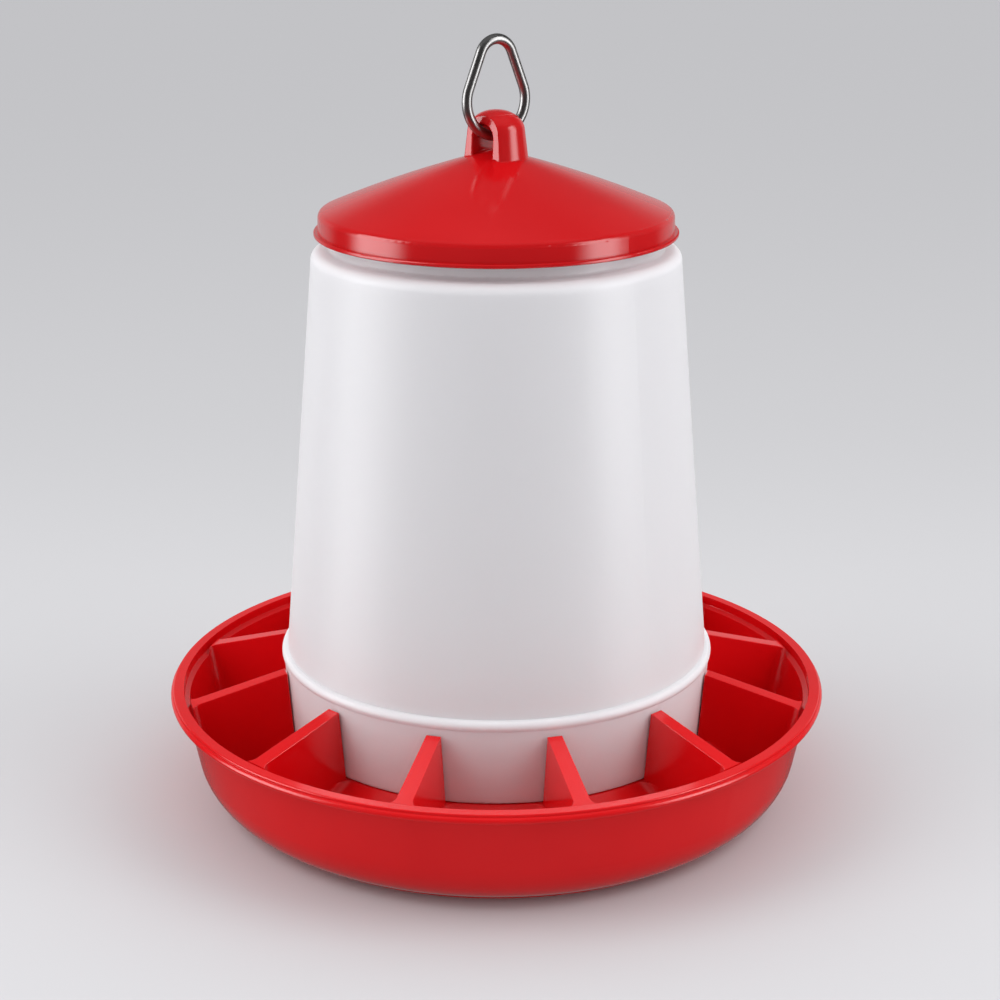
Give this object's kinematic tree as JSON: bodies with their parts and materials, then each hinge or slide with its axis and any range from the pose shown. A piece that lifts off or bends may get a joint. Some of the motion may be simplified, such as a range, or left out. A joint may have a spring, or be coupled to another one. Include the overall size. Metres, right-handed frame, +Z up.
{
  "type": "hanging poultry feeder",
  "caption": "Hanging poultry feeder: a divided feed pan, a translucent tapered barrel, a twist-off lid with a moulded eye, and a steel ring to hang it by.",
  "frame": {"origin": "centre of the pan's foot ring, on the ground", "axes": "+Z up along the feeder's axis; the tunnel of the lid's eye runs along Y, and dividers of the pan stand on both X and Y"},
  "size_m": [0.28, 0.28, 0.3197],
  "materials": {
    "red_plastic": "glossy moulded polypropylene",
    "milky_plastic": "satin translucent polypropylene",
    "steel_wire": "polished"
  },
  "bodies": {
    "pan": {"pan": "red_plastic"},
    "barrel": {"barrel": "milky_plastic"},
    "lid": {"lid": "red_plastic"},
    "hanging_ring": {"hanging_ring": "steel_wire"}
  },
  "joints": [
    {"name": "barrel_lift", "type": "slide", "parent": "pan", "child": "barrel", "axis": [0, 0, 1], "range_m": [0, 0.011]},
    {"name": "lid_turn", "type": "hinge", "parent": "barrel", "child": "lid", "pos_m": [0, 0, 0.2424], "axis": [0, 0, 1], "range_deg": [0, 30]},
    {"name": "ring_swing", "type": "hinge", "parent": "lid", "child": "hanging_ring", "pos_m": [0, 0, 0.2796], "axis": [0, 1, 0], "range_deg": [-105, 105]}
  ]
}
